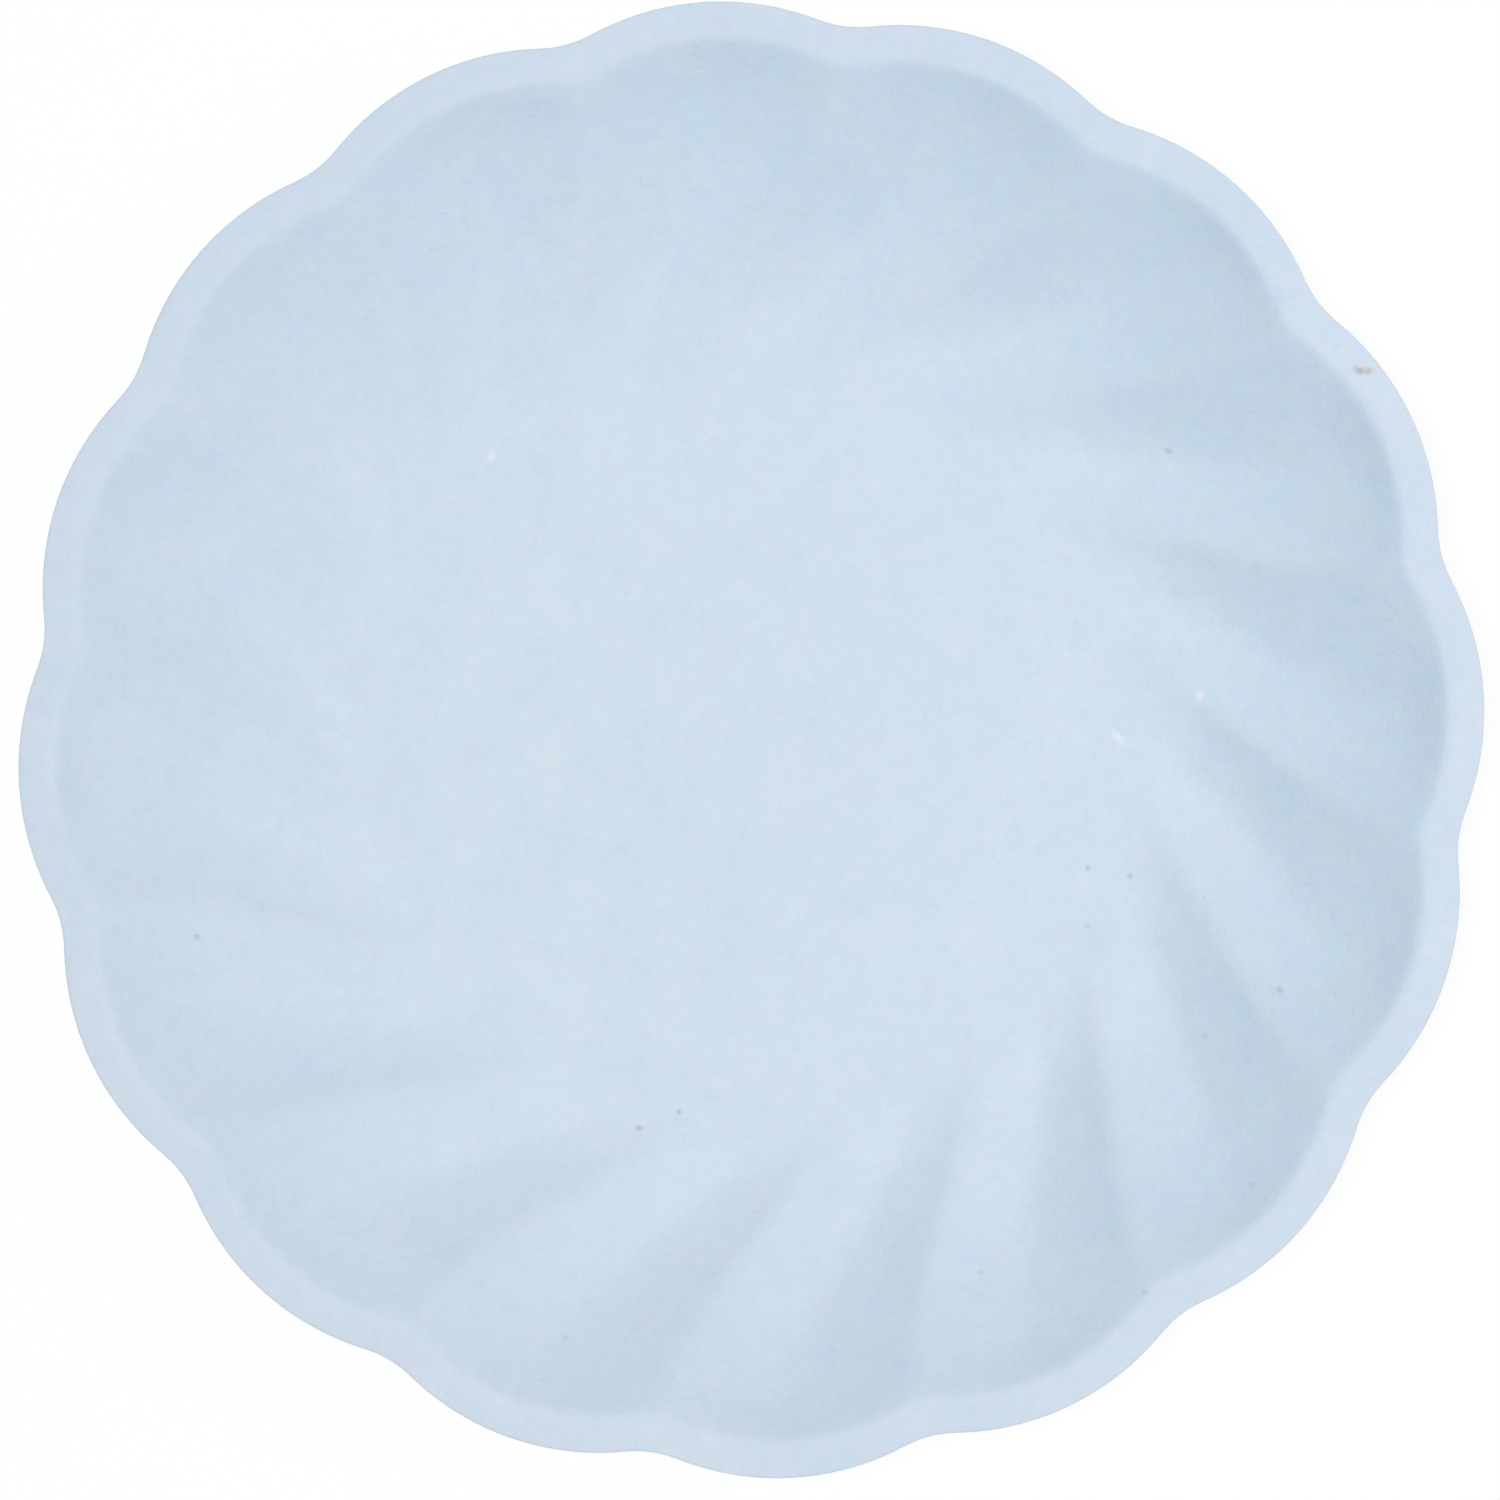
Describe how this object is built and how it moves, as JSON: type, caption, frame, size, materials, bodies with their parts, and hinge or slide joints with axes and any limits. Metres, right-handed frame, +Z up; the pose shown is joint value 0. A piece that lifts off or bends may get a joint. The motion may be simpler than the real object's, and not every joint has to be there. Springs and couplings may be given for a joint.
{
  "type": "scalloped dessert plate",
  "caption": "Round moulded-fibre dessert plate with a scalloped narrow brim, a wall of swirling flutes and a flat floor.",
  "frame": {"origin": "centre of the face that the plate rests on", "axes": "+Z up, out of the well; +X through the middle of one lobe"},
  "size_m": [0.2032, 0.2032, 0.0187],
  "materials": {
    "moulded_fibre": "uncoated matte pressed pulp, dyed through in pale blue"
  },
  "bodies": {
    "root": {"plate": "moulded_fibre"}
  },
  "joints": []
}
